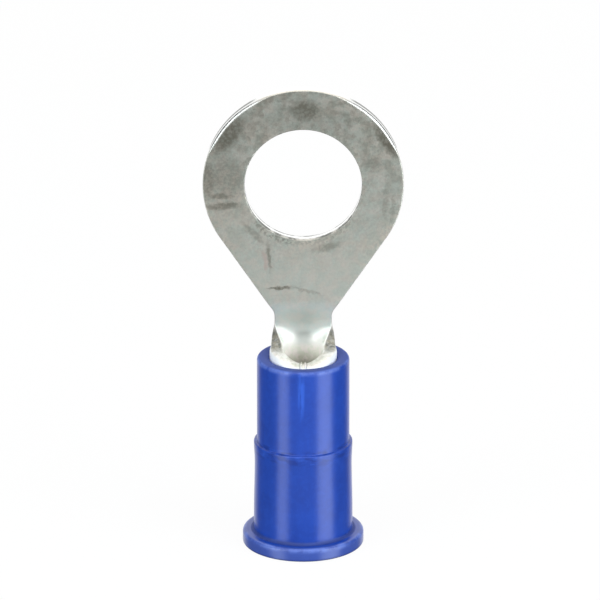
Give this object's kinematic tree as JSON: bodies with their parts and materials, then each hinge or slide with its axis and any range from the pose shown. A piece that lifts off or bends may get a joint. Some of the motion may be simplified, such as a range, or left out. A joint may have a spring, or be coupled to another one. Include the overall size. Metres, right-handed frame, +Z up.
{
  "type": "ring terminal",
  "caption": "Insulated crimp ring terminal: a flat stud ring on a short rolled metal barrel, held in a stepped blue sleeve with a flanged wire entry.",
  "frame": {"origin": "centre of the flange's lower face, on the barrel's axis", "axes": "+Z up the barrel towards the ring, +X across the ring, -Y towards the barrel's seam and the ring's near face"},
  "size_m": [0.0118, 0.0072, 0.0282],
  "materials": {
    "tinned_copper": "satin",
    "blue_vinyl": "satin"
  },
  "bodies": {
    "root": {"copper_terminal": "tinned_copper", "vinyl_sleeve": "blue_vinyl"}
  },
  "joints": []
}
